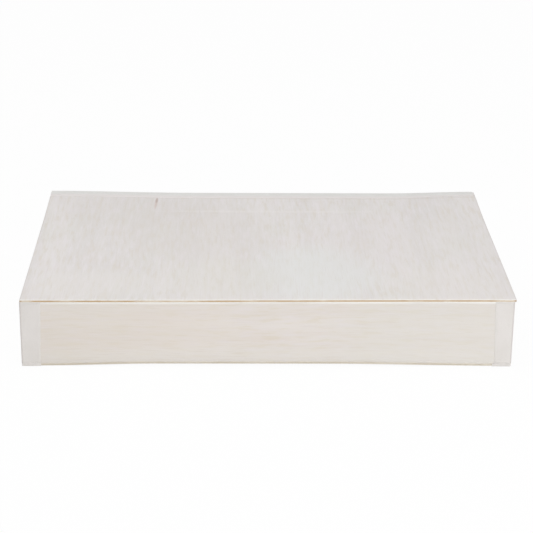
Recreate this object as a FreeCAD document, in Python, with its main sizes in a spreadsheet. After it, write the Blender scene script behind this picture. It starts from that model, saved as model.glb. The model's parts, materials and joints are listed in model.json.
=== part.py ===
import FreeCAD, Part
import os
import Sketcher

# A collapsible box for papers and keepsakes: thin veneered boards hinged to each other with glued cloth.
# X runs to the right, Y to the rear and Z up, from the point on the table under the middle of the box.

# Driving sizes in millimetres
SIZES = {
    "overall_width": 340.0,
    "overall_depth": 225.0,
    "overall_height": 50.0,
    "lid_core": 1.2,
    "base_core": 1.2,
    "wall_core": 1.2,
    "veneer": 0.4,
    "cloth": 0.3,
    "corner_leaf": 13.0,
    "inner_leaf": 10.0,
    "hinge_leaf": 14.0,
    "patch_leaf": 13.0,
    "lid_overhang": 0.3,
    "running_gap": 0.2,
    "end_gap": 0.15,
    "plan_radius": 0.8,
    "eased_edge": 0.2,
    "overrun": 1.0,
}

# Points closer than this share of a piece's diagonal count as one place
SAME_PLACE_SHARE = 1e-6

# Turns about Z that bring a piece drawn for the front left corner or the front side to its place
FRONT_LEFT = 0
FRONT_RIGHT = 90
REAR_RIGHT = 180
REAR_LEFT = 270

# Thickness of the three boards
LID_BOARD = "(sizes.lid_core + 2 * sizes.veneer)"
BASE_BOARD = "(sizes.base_core + 2 * sizes.veneer)"
WALL_BOARD = "(sizes.wall_core + 2 * sizes.veneer)"

# Outer faces of the bare wall frame
RIGHT_FACE = "(sizes.overall_width / 2 - sizes.lid_overhang - sizes.cloth)"
LEFT_FACE = f"(-{RIGHT_FACE})"
FRONT_FACE = "(sizes.lid_overhang + sizes.cloth - sizes.overall_depth / 2)"
REAR_FACE = "(sizes.overall_depth / 2 - sizes.cloth)"
FRAME_WIDTH = f"(2 * {RIGHT_FACE})"
FRAME_DEPTH = f"({REAR_FACE} - {FRONT_FACE})"
SIDE_LENGTH = f"({FRAME_DEPTH} - 2 * ({WALL_BOARD} + sizes.end_gap))"
SIDE_MIDDLE = f"(({FRONT_FACE} + {REAR_FACE}) / 2)"

# Heights above the table
BASE_UNDERSIDE = "sizes.cloth"
WALL_FOOT = f"({BASE_UNDERSIDE} + {BASE_BOARD} + sizes.running_gap)"
LID_UNDERSIDE = f"(sizes.overall_height - sizes.cloth - {LID_BOARD})"
WALL_HEIGHT = f"({LID_UNDERSIDE} - sizes.running_gap - {WALL_FOOT})"

# Lid, from its front edge to the rear wall's outer face
LID_FRONT = "(-sizes.overall_depth / 2)"
LID_DEPTH = "(sizes.overall_depth - sizes.cloth)"

# Half the clear width between the two rear corner cloths
REAR_CLEAR = f"({RIGHT_FACE} - sizes.corner_leaf - sizes.end_gap)"

doc = FreeCAD.newDocument("CollapsibleBox")


def make_sheet():
    """Put the driving sizes in a spreadsheet, one alias a row."""
    sheet = doc.addObject("Spreadsheet::Sheet", "sizes")
    for row, (name, value) in enumerate(SIZES.items(), start=1):
        sheet.set(f"A{row}", name)
        sheet.set(f"B{row}", str(value))
        sheet.setAlias(f"B{row}", name)
    doc.recompute()


def new_body(label):
    """Start a sub-part."""
    body = doc.addObject("PartDesign::Body", label)
    body.Label = label
    return body


def new_sketch(body, name, role):
    """Start a sketch on one of the body's own origin planes."""
    plane = next(item for item in body.Origin.OriginFeatures if item.Role == role)
    sketch = body.newObject("Sketcher::SketchObject", f"{body.Name}_{name}")
    sketch.AttachmentSupport = (plane, "")
    sketch.MapMode = "FlatFace"
    return sketch


def bind(sketch, kind, ends, name, size):
    """Add a dimension between two points of a sketch and tie it to the sheet."""
    index = sketch.addConstraint(Sketcher.Constraint(kind, *ends, 1.0))
    sketch.renameConstraint(index, name)
    sketch.setExpression(f"Constraints.{name}", size)


def draw_outline(sketch, corners):
    """Draw a closed outline of level and upright lines through unit corners and return its first line."""
    first = sketch.GeometryCount
    count = len(corners)
    for index, corner in enumerate(corners):
        start = FreeCAD.Vector(*corner, 0)
        end = FreeCAD.Vector(*corners[(index + 1) % count], 0)
        sketch.addGeometry(Part.LineSegment(start, end), False)
    for index in range(count):
        following = (index + 1) % count
        level = corners[index][1] == corners[following][1]
        direction = "Horizontal" if level else "Vertical"
        sketch.addConstraint(Sketcher.Constraint("Coincident", first + index, 2, first + following, 1))
        sketch.addConstraint(Sketcher.Constraint(direction, first + index))
    return first


def draw_rectangle(sketch, length, breadth, start):
    """Draw a rectangle centred across X, from a given distance along Y."""
    line = draw_outline(sketch, [(-1, 1), (1, 1), (1, 2), (-1, 2)])
    bind(sketch, "DistanceX", (line, 1, line, 2), "length", length)
    bind(sketch, "DistanceX", (-1, 1, line, 2), "half_length", f"{length} / 2")
    bind(sketch, "DistanceY", (line + 1, 1, line + 1, 2), "breadth", breadth)
    bind(sketch, "DistanceY", (-1, 1, line, 1), "start", start)


def draw_angle(sketch, leg_x, leg_y):
    """Draw an L of cloth with its outer corner on the origin and a leg along X and along Y."""
    line = draw_outline(sketch, [(0, 0), (2, 0), (2, 1), (1, 1), (1, 2), (0, 2)])
    sketch.addConstraint(Sketcher.Constraint("Coincident", line, 1, -1, 1))
    bind(sketch, "DistanceX", (line, 1, line, 2), "leg_x", leg_x)
    bind(sketch, "DistanceY", (line, 1, line + 4, 2), "leg_y", leg_y)
    bind(sketch, "DistanceY", (line + 1, 1, line + 1, 2), "thickness_x", "sizes.cloth")
    bind(sketch, "DistanceX", (line + 4, 2, line + 4, 1), "thickness_y", "sizes.cloth")


def pad(body, sketch, height):
    """Raise a sketch along its normal."""
    feature = body.newObject("PartDesign::Pad", f"{sketch.Name}_pad")
    feature.Profile = sketch
    feature.setExpression("Length", height)
    doc.recompute()
    return feature


def edges_where(shape, accept):
    """Name the edges whose two ends pass a test on the ends, the shape's box and the slack."""
    box = shape.BoundBox
    slack = box.DiagonalLength * SAME_PLACE_SHARE
    names = []
    for index, edge in enumerate(shape.Edges, start=1):
        if accept(edge.firstVertex().Point, edge.lastVertex().Point, box, slack):
            names.append(f"Edge{index}")
    return names


def upright(first, last, box, slack):
    """Tell whether an edge runs along Z."""
    return abs(first.x - last.x) < slack and abs(first.y - last.y) < slack


def upright_at_bend(first, last, box, slack):
    """Tell whether an edge is the outer corner of a cloth angle."""
    in_corner = first.x < box.XMin + slack and first.y < box.YMin + slack
    return upright(first, last, box, slack) and in_corner


def upright_in_bend(first, last, box, slack):
    """Tell whether an edge is the inner corner of a cloth angle."""
    off_side = box.XMin + slack < first.x < box.XMax - slack
    off_front = box.YMin + slack < first.y < box.YMax - slack
    return upright(first, last, box, slack) and off_side and off_front


def in_top_face(first, last, box, slack):
    """Tell whether an edge lies in the top face."""
    return min(first.z, last.z) > box.ZMax - slack


def in_lowest_face(first, last, box, slack):
    """Tell whether an edge lies in the lowest face."""
    return max(first.z, last.z) < box.ZMin + slack


def in_front_face(first, last, box, slack):
    """Tell whether an edge lies in the face that is drawn in front."""
    return max(first.y, last.y) < box.YMin + slack


def round_edges(body, feature, accept, radius):
    """Round the edges of a feature that pass a test."""
    fillet = body.newObject("PartDesign::Fillet", f"{body.Name}_{accept.__name__}")
    fillet.Base = (feature, edges_where(feature.Shape, accept))
    fillet.setExpression("Radius", radius)
    doc.recompute()
    return fillet


def bend_cloth(body, feature, inner_radius):
    """Round a cloth angle inside and outside, where it goes round a board's edge."""
    inside = round_edges(body, feature, upright_in_bend, inner_radius)
    round_edges(body, inside, upright_at_bend, f"{inner_radius} + sizes.cloth")


def place(body, x, y, z, turn):
    """Put a sub-part in its place, turned about Z."""
    body.Placement = FreeCAD.Placement(FreeCAD.Vector(), FreeCAD.Rotation(FreeCAD.Vector(0, 0, 1), turn))
    put_at(body, x, y, z)


def put_at(body, x, y, z):
    """Tie a sub-part's position to the sheet."""
    body.setExpression("Placement.Base.x", x)
    body.setExpression("Placement.Base.y", y)
    body.setExpression("Placement.Base.z", z)


def flat_layer(label, length, breadth, front, z, thickness):
    """Make one layer of a level board, with rounded plan corners."""
    body = new_body(label)
    sketch = new_sketch(body, "outline", "XY_Plane")
    draw_rectangle(sketch, length, breadth, "0 mm")
    layer = pad(body, sketch, thickness)
    rounded = round_edges(body, layer, upright, "sizes.plan_radius")
    place(body, "0 mm", front, z, FRONT_LEFT)
    return body, rounded


def make_lid():
    """Veneered lid board, level on the walls and flush with the rear wall."""
    top = f"({LID_UNDERSIDE} + sizes.veneer + sizes.lid_core)"
    middle = f"({LID_UNDERSIDE} + sizes.veneer)"
    outline = ("sizes.overall_width", LID_DEPTH, LID_FRONT)
    flat_layer("lid_under_veneer", *outline, LID_UNDERSIDE, "sizes.veneer")
    flat_layer("lid_core", *outline, middle, "sizes.lid_core")
    body, layer = flat_layer("lid_top_veneer", *outline, top, "sizes.veneer")
    round_edges(body, layer, in_top_face, "sizes.eased_edge")


def make_base():
    """Veneered base board, under all four walls and flush with them."""
    middle = f"({BASE_UNDERSIDE} + sizes.veneer)"
    top = f"({BASE_UNDERSIDE} + sizes.veneer + sizes.base_core)"
    outline = (FRAME_WIDTH, FRAME_DEPTH, FRONT_FACE)
    flat_layer("base_top_veneer", *outline, top, "sizes.veneer")
    flat_layer("base_core", *outline, middle, "sizes.base_core")
    body, layer = flat_layer("base_under_veneer", *outline, BASE_UNDERSIDE, "sizes.veneer")
    round_edges(body, layer, in_lowest_face, "sizes.eased_edge")


def wall_layer(label, length, start, thickness, x, y, turn):
    """Make one layer of an upright board, drawn for the front wall and turned to its side."""
    body = new_body(label)
    sketch = new_sketch(body, "outline", "XY_Plane")
    draw_rectangle(sketch, length, thickness, start)
    layer = pad(body, sketch, WALL_HEIGHT)
    place(body, x, y, WALL_FOOT, turn)
    return body, layer


def make_wall(side, length, x, y, turn):
    """Veneered wall board with eased outer edges."""
    body, layer = wall_layer(f"{side}_wall_outer_veneer", length, "0 mm", "sizes.veneer", x, y, turn)
    round_edges(body, layer, in_front_face, "sizes.eased_edge")
    wall_layer(f"{side}_wall_core", length, "sizes.veneer", "sizes.wall_core", x, y, turn)
    behind_core = "sizes.veneer + sizes.wall_core"
    wall_layer(f"{side}_wall_inner_veneer", length, behind_core, "sizes.veneer", x, y, turn)


def make_corner_cloth(label, x, y, leaf, turn):
    """Upright cloth angle as tall as the walls, glued to both walls of a corner."""
    body = new_body(label)
    sketch = new_sketch(body, "section", "XY_Plane")
    leg = f"({leaf} + sizes.cloth)"
    draw_angle(sketch, leg, leg)
    strip = pad(body, sketch, WALL_HEIGHT)
    bend_cloth(body, strip, "sizes.eased_edge")
    place(body, x, y, WALL_FOOT, turn)


def make_base_patch(label, x, y, turn):
    """Cloth cap round a front corner of the base: both edges and the underside."""
    body = new_body(label)
    leg = "(sizes.patch_leaf + sizes.cloth)"
    section = new_sketch(body, "section", "XY_Plane")
    draw_angle(section, leg, leg)
    edge = pad(body, section, f"sizes.cloth + {BASE_BOARD}")
    bend_cloth(body, edge, "sizes.plan_radius")
    sheet = new_sketch(body, "sheet", "XY_Plane")
    draw_patch_sheet(sheet, leg)
    pad(body, sheet, "sizes.cloth")
    place(body, x, y, "0 mm", turn)


def draw_patch_sheet(sketch, leg):
    """Draw the square of cloth under the base, inside the two upright legs."""
    line = draw_outline(sketch, [(0, 0), (1, 0), (1, 1), (0, 1)])
    bind(sketch, "DistanceX", (line, 1, line, 2), "along_x", f"{leg} - sizes.cloth")
    bind(sketch, "DistanceY", (line + 1, 1, line + 1, 2), "along_y", f"{leg} - sizes.cloth")
    bind(sketch, "DistanceX", (-1, 1, line, 1), "from_x", "sizes.cloth")
    bind(sketch, "DistanceY", (-1, 1, line, 1), "from_y", "sizes.cloth")


def make_hinge_cloth(label, width, board, x, z, turn):
    """Cloth along a rear edge: on the level board, over its rear edge and along the rear wall."""
    body = new_body(label)
    section = new_sketch(body, "section", "XY_Plane")
    over_edge = f"(sizes.cloth + {board})"
    wall_leg = f"({over_edge} + sizes.running_gap + sizes.hinge_leaf)"
    draw_angle(section, "(sizes.hinge_leaf + sizes.cloth)", wall_leg)
    strip = pad(body, section, width)
    bend_cloth(body, strip, "sizes.eased_edge")
    notches = new_sketch(body, "notches", "YZ_Plane")
    draw_notches(notches, width, over_edge)
    cut = body.newObject("PartDesign::Pocket", f"{label}_cut")
    cut.Profile = notches
    cut.Reversed = True
    cut.setExpression("Length", "sizes.cloth + sizes.overrun")
    doc.recompute()
    body.Placement = FreeCAD.Placement(FreeCAD.Vector(), turn)
    put_at(body, x, "sizes.overall_depth / 2", z)


def draw_notches(sketch, width, over_edge):
    """Draw the two places at the ends of the wall leaf that the corner cloths take."""
    depth = "(sizes.running_gap + sizes.hinge_leaf + sizes.overrun)"
    breadth = f"({width} / 2 - {REAR_CLEAR} + sizes.overrun)"
    for end in ("near", "far"):
        line = draw_outline(sketch, [(1, 0), (2, 0), (2, 1), (1, 1)])
        bind(sketch, "DistanceX", (-1, 1, line, 1), f"{end}_start", over_edge)
        bind(sketch, "DistanceX", (line, 1, line, 2), f"{end}_depth", depth)
        bind(sketch, "DistanceY", (line + 1, 1, line + 1, 2), f"{end}_breadth", breadth)
        if end == "near":
            bind(sketch, "DistanceY", (line, 1, -1, 1), f"{end}_overrun", "sizes.overrun")
        else:
            bind(sketch, "DistanceY", (-1, 1, line, 1), f"{end}_inset", f"{width} / 2 + {REAR_CLEAR}")


def make_walls():
    """Frame of four walls: the front and rear run the full width and the sides fit between them."""
    make_wall("front", FRAME_WIDTH, "0 mm", FRONT_FACE, FRONT_LEFT)
    make_wall("right", SIDE_LENGTH, RIGHT_FACE, SIDE_MIDDLE, FRONT_RIGHT)
    make_wall("rear", FRAME_WIDTH, "0 mm", REAR_FACE, REAR_RIGHT)
    make_wall("left", SIDE_LENGTH, LEFT_FACE, SIDE_MIDDLE, REAR_LEFT)


def make_outer_cloths():
    """Cloth round all four corners of the frame, and round the base's two front corners."""
    left = f"{LEFT_FACE} - sizes.cloth"
    right = f"{RIGHT_FACE} + sizes.cloth"
    front = f"{FRONT_FACE} - sizes.cloth"
    rear = f"{REAR_FACE} + sizes.cloth"
    leaf = "sizes.corner_leaf"
    make_corner_cloth("front_left_corner_cloth", left, front, leaf, FRONT_LEFT)
    make_corner_cloth("front_right_corner_cloth", right, front, leaf, FRONT_RIGHT)
    make_corner_cloth("rear_right_corner_cloth", right, rear, leaf, REAR_RIGHT)
    make_corner_cloth("rear_left_corner_cloth", left, rear, leaf, REAR_LEFT)
    make_base_patch("front_left_base_patch", left, front, FRONT_LEFT)
    make_base_patch("front_right_base_patch", right, front, FRONT_RIGHT)


def make_inner_cloths():
    """Cloth inside the two corners that close when the frame folds flat to the right."""
    left = f"{LEFT_FACE} + {WALL_BOARD}"
    right = f"{RIGHT_FACE} - {WALL_BOARD}"
    front = f"{FRONT_FACE} + {WALL_BOARD}"
    rear = f"{REAR_FACE} - {WALL_BOARD}"
    leaf = "sizes.inner_leaf"
    make_corner_cloth("front_right_inner_cloth", right, front, leaf, FRONT_RIGHT)
    make_corner_cloth("rear_left_inner_cloth", left, rear, leaf, REAR_LEFT)


def make_hinge_cloths():
    """Cloth that hinges the lid and the base to the rear wall, like the spine of a book."""
    forward = FreeCAD.Vector(0, -1, 0)
    right = FreeCAD.Vector(1, 0, 0)
    up = FreeCAD.Vector(0, 0, 1)
    hanging = FreeCAD.Rotation(forward, -up, right, "XYZ")
    rising = FreeCAD.Rotation(forward, up, -right, "XYZ")
    lid_width = "(sizes.overall_width - 2 * sizes.plan_radius)"
    lid_start = f"-{lid_width} / 2"
    make_hinge_cloth("lid_hinge_cloth", lid_width, LID_BOARD, lid_start, "sizes.overall_height", hanging)
    base_width = f"({FRAME_WIDTH} - 2 * sizes.plan_radius)"
    base_start = f"{base_width} / 2"
    make_hinge_cloth("base_hinge_cloth", base_width, BASE_BOARD, base_start, "0 mm", rising)


def write_parts():
    """Check every object and write each sub-part to a file of its own."""
    doc.recompute()
    for item in doc.Objects:
        if "Invalid" in item.State or "Error" in item.State:
            raise RuntimeError(f"{item.Name} failed: {item.State}")
    bodies = [item for item in doc.Objects if item.TypeId == "PartDesign::Body"]
    for body in bodies:
        if body.Shape.isNull() or not body.Shape.isValid() or len(body.Shape.Solids) != 1:
            raise RuntimeError(f"{body.Label} isn't one valid solid")
    os.makedirs("parts", exist_ok=True)
    for body in bodies:
        body.Shape.exportStep(f"parts/{body.Label}.step")
    print(f"{len(bodies)} parts written")


make_sheet()
make_lid()
make_base()
make_walls()
make_outer_cloths()
make_inner_cloths()
make_hinge_cloths()
write_parts()
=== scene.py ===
"""The looks of a collapsible veneered box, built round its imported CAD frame.

Six veneered boards make the box: a lid, a base and four walls. Strips of woven cloth are
glued over the corners and along the rear edges, and serve as hinges.
"""

import json
import logging
import math
from collections.abc import Callable, Iterator
from contextlib import contextmanager
from dataclasses import dataclass, field
from enum import Enum
from functools import cached_property
from typing import Any

import bmesh
import bpy
from mathutils import Matrix, Vector
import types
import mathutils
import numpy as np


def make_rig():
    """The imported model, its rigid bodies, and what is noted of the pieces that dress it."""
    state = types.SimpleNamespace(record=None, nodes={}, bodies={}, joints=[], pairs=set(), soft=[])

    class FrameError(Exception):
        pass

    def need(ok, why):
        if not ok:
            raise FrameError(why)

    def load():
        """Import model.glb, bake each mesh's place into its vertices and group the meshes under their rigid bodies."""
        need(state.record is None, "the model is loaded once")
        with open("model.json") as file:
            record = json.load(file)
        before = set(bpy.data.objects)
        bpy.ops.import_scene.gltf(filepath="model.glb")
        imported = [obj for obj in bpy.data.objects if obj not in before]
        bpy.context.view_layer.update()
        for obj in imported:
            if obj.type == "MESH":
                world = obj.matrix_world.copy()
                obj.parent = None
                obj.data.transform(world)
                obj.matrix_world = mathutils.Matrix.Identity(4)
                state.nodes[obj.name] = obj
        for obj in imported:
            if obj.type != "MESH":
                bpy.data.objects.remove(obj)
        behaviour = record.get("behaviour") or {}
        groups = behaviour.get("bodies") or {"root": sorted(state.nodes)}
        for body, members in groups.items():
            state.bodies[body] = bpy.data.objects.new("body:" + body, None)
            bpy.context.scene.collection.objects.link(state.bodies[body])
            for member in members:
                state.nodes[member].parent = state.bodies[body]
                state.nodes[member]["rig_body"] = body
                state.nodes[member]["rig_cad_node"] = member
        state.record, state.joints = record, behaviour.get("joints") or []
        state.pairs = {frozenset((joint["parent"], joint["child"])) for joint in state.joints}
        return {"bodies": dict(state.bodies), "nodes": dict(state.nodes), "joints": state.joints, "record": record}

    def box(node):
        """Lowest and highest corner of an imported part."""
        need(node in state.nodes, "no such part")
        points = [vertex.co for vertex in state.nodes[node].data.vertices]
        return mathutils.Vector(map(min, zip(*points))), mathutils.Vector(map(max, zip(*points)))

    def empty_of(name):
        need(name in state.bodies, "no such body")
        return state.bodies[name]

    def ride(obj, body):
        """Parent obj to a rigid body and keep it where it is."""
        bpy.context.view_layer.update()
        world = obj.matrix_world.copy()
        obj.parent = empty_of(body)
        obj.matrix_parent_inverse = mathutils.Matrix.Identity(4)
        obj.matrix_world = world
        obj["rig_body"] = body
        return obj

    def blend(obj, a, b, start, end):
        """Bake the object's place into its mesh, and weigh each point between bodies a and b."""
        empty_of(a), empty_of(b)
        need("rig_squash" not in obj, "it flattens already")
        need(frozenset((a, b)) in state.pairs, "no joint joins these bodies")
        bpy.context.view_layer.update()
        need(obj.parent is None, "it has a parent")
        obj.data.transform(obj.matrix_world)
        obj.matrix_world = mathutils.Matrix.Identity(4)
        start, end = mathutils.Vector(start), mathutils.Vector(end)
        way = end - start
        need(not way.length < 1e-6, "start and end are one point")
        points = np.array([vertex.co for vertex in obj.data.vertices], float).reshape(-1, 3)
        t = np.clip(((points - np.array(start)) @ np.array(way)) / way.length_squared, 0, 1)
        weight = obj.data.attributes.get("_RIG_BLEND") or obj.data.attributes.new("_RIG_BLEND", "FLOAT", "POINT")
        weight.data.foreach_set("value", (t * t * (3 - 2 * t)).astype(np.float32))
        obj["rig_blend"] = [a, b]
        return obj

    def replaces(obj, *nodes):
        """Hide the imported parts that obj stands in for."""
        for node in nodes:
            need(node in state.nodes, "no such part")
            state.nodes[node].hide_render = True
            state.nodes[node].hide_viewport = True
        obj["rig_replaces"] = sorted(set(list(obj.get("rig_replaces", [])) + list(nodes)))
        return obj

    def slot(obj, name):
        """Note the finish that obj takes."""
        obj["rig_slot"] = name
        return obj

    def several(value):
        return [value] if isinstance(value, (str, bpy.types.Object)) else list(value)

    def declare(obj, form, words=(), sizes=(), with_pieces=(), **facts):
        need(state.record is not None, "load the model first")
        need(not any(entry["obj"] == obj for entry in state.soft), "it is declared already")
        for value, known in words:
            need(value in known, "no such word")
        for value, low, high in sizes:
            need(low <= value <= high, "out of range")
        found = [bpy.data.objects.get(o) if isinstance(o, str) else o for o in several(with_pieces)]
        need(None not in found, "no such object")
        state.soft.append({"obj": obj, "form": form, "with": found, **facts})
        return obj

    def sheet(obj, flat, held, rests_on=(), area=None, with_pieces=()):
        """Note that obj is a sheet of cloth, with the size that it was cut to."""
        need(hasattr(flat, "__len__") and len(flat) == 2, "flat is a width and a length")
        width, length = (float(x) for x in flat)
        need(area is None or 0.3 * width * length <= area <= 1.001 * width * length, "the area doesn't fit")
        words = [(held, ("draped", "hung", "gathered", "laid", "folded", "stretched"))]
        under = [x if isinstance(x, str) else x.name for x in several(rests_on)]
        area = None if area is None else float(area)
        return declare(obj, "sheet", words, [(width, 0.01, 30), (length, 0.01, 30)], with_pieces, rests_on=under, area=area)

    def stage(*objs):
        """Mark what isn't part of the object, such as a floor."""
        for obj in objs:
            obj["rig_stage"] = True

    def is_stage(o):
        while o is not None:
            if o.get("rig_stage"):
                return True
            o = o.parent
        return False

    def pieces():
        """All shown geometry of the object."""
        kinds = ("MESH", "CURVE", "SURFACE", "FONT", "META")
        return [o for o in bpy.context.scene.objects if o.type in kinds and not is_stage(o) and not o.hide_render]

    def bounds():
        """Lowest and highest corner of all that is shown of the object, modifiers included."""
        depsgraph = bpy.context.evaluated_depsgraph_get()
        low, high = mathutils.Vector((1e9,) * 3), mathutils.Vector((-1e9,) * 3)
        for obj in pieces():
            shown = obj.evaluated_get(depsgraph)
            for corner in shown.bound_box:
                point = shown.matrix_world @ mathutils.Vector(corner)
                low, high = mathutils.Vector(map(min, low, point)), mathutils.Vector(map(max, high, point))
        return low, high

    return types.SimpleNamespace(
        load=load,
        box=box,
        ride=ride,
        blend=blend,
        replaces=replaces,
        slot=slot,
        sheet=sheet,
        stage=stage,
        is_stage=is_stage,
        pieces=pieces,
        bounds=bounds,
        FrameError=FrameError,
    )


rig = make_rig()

LOG = logging.getLogger("collapsible_box")
SIZE_FILE = "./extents.json"
MM = 0.001
SAME_PLACE = 0.01 * MM
IN_LINE = 0.999
NEARLY = 0.9
WHITE = (1.0, 1.0, 1.0, 1.0)

Pair = tuple[float, float]
Triple = tuple[float, float, float]
Colour = tuple[float, float, float, float]
Edge = bmesh.types.BMEdge
Corner = bmesh.types.BMVert
Test = Callable[[Any], bool]
Develop = Callable[[Vector, Vector], Pair]


class Axis(Enum):
    """The three ways in the shared frame, as places in a vector."""

    WIDTH = 0
    DEPTH = 1
    HEIGHT = 2


class Lay(Enum):
    """How a board lies: along its grain, across its grain, and through its thickness."""

    LEVEL = (Axis.DEPTH, Axis.WIDTH, Axis.HEIGHT)
    FACING = (Axis.WIDTH, Axis.HEIGHT, Axis.DEPTH)
    FLANK = (Axis.DEPTH, Axis.HEIGHT, Axis.WIDTH)

    @property
    def along(self) -> Axis:
        """The way of the face grain."""
        return self.value[0]

    @property
    def across(self) -> Axis:
        """The way across the face grain."""
        return self.value[1]

    @property
    def through(self) -> Axis:
        """The way through the board."""
        return self.value[2]


class Pick(Enum):
    """What is selected in edit mode."""

    VERT = "verts"
    EDGE = "edges"


class Slot(Enum):
    """The record's material slots."""

    VENEER = "pale_veneer"
    CORE = "raw_core"
    CLOTH = "cloth"


def tone(red: float, green: float, blue: float) -> Colour:
    """Turn a display colour into the linear one that a shader takes.

    Args:
        red: The display value, from 0 to 255.
        green: The display value, from 0 to 255.
        blue: The display value, from 0 to 255.

    Returns:
        The linear colour with full alpha.
    """
    shares = [part / 255 for part in (red, green, blue)]
    linear = [s / 12.92 if s <= 0.04045 else ((s + 0.055) / 1.055) ** 2.4 for s in shares]
    return (*linear, 1.0)


class Value:
    """A number that a shader works out, with Python's operators."""

    def __init__(self, paint: "Paint", socket: bpy.types.NodeSocket | None) -> None:
        """Keep the node tree and the socket."""
        self.paint = paint
        self.socket = socket

    def maths(self, operation: str, first: Any, second: Any = 0.0) -> "Value":
        """Add a Math node for two values."""
        return self.paint.node("ShaderNodeMath", {"operation": operation}, {0: first, 1: second})

    def __add__(self, other: Any) -> "Value":
        """Add."""
        return self.maths("ADD", self, other)

    def __radd__(self, other: Any) -> "Value":
        """Add, the other way round."""
        return self.maths("ADD", other, self)

    def __sub__(self, other: Any) -> "Value":
        """Take away."""
        return self.maths("SUBTRACT", self, other)

    def __rsub__(self, other: Any) -> "Value":
        """Take this away from another value."""
        return self.maths("SUBTRACT", other, self)

    def __mul__(self, other: Any) -> "Value":
        """Multiply."""
        return self.maths("MULTIPLY", self, other)

    def __rmul__(self, other: Any) -> "Value":
        """Multiply, the other way round."""
        return self.maths("MULTIPLY", other, self)

    def __truediv__(self, other: Any) -> "Value":
        """Divide."""
        return self.maths("DIVIDE", self, other)

    def __rtruediv__(self, other: Any) -> "Value":
        """Divide another value by this one."""
        return self.maths("DIVIDE", other, self)

    def __abs__(self) -> "Value":
        """Leave out the sign."""
        return self.maths("ABSOLUTE", self)

    def most(self, other: Any) -> "Value":
        """The larger of two values."""
        return self.maths("MAXIMUM", self, other)

    def sine(self) -> "Value":
        """The sine of an angle in radians."""
        return self.maths("SINE", self)

    def smooth(self, low: float, high: float) -> "Value":
        """Rise smoothly from zero at low to one at high."""
        return self.paint.node(
            "ShaderNodeMapRange",
            {"interpolation_type": "SMOOTHSTEP"},
            {"Value": self, "From Min": low, "From Max": high},
        )

    def inset(self, low: float, high: float) -> "Value":
        """How far a place is inside the nearer of two edges."""
        return (high - low) / 2 - abs(self - (low + high) / 2)


@dataclass(frozen=True)
class Wash:
    """A thin coat of colour: its pattern, where it begins and is full, and its strength."""

    pattern: Value
    start: float
    full: float
    strength: float
    colour: Colour


class Paint:
    """The node tree of a material or a world, and the few nodes that it needs."""

    def __init__(self, owner: bpy.types.Material | bpy.types.World) -> None:
        """Start with an empty tree."""
        owner.use_nodes = True
        self.owner = owner
        self.tree = owner.node_tree
        self.tree.nodes.clear()

    @classmethod
    def material(cls, name: str) -> "Paint":
        """Start a new material."""
        return cls(bpy.data.materials.new(name))

    def node(
        self,
        kind: str,
        settings: dict[str, Any] | None = None,
        inputs: dict[str | int, Any] | None = None,
        output: str | int = 0,
    ) -> Value:
        """Add a node.

        Args:
            kind: The node's type.
            settings: Its own settings, set before its sockets.
            inputs: Values or links of its sockets, by name or place.
            output: Which output is wanted.

        Returns:
            The wanted output.
        """
        made = self.tree.nodes.new(kind)
        for name, setting in (settings or {}).items():
            setattr(made, name, setting)
        for key, value in (inputs or {}).items():
            if isinstance(value, Value):
                self.tree.links.new(value.socket, made.inputs[key])
            else:
                made.inputs[key].default_value = value
        return Value(self, made.outputs[output] if len(made.outputs) else None)

    def axes(self) -> tuple[Value, Value, Value]:
        """The place on the straight board along the width, the depth and the height."""
        settings = {"attribute_type": "GEOMETRY", "attribute_name": Workpiece.STRAIGHT}
        return self.parts(self.node("ShaderNodeAttribute", settings, output="Vector"))

    def parts(self, vector: Value) -> tuple[Value, Value, Value]:
        """Take a vector apart."""
        split = self.node("ShaderNodeSeparateXYZ", inputs={0: vector})
        return tuple(Value(self, socket) for socket in split.socket.node.outputs)

    def noise(self, x: Any, y: Any, z: Any, detail: float = 2.0, rough: float = 0.5) -> Value:
        """Soft noise about one unit across.

        Args:
            x: First place.
            y: Second place.
            z: Third place.
            detail: How many finer layers are added.
            rough: How strong the finer layers are.

        Returns:
            A value from 0 to 1, mostly near a half.
        """
        place = self.node("ShaderNodeCombineXYZ", inputs={0: x, 1: y, 2: z})
        sockets = {"Vector": place, "Scale": 1.0, "Detail": detail, "Roughness": rough}
        return self.node("ShaderNodeTexNoise", {"noise_dimensions": "3D"}, sockets)

    def mix(self, share: Any, first: Any, second: Any) -> Value:
        """Mix two colours."""
        settings = {"data_type": "RGBA", "clamp_factor": True}
        return self.node("ShaderNodeMix", settings, {0: share, 6: first, 7: second}, output=2)

    def layered(self, colour: Any, *washes: Wash) -> Value:
        """Lay thin coats over a colour.

        Args:
            colour: The colour below.
            washes: The coats, in order.

        Returns:
            The colour on top.
        """
        for wash in washes:
            share = wash.pattern.smooth(wash.start, wash.full) * wash.strength
            colour = self.mix(share, colour, wash.colour)
        return colour

    def surface(
        self, colour: Value, roughness: Value, height: Value, relief: float, fixed: dict[str, Any]
    ) -> bpy.types.Material:
        """Close the tree with a shader and an output.

        Args:
            colour: The base colour.
            roughness: The roughness.
            height: The fine relief, from 0 to 1.
            relief: How deep the relief is, in metres.
            fixed: Shader values that are the same all over.

        Returns:
            The finished material.
        """
        bumps = {"Strength": 1.0, "Distance": relief, "Height": height}
        bump = self.node("ShaderNodeBump", inputs=bumps)
        sockets = {"Base Color": colour, "Roughness": roughness, "Normal": bump, **fixed}
        shader = self.node("ShaderNodeBsdfPrincipled", inputs=sockets)
        self.node("ShaderNodeOutputMaterial", inputs={0: shader})
        return self.owner


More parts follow.
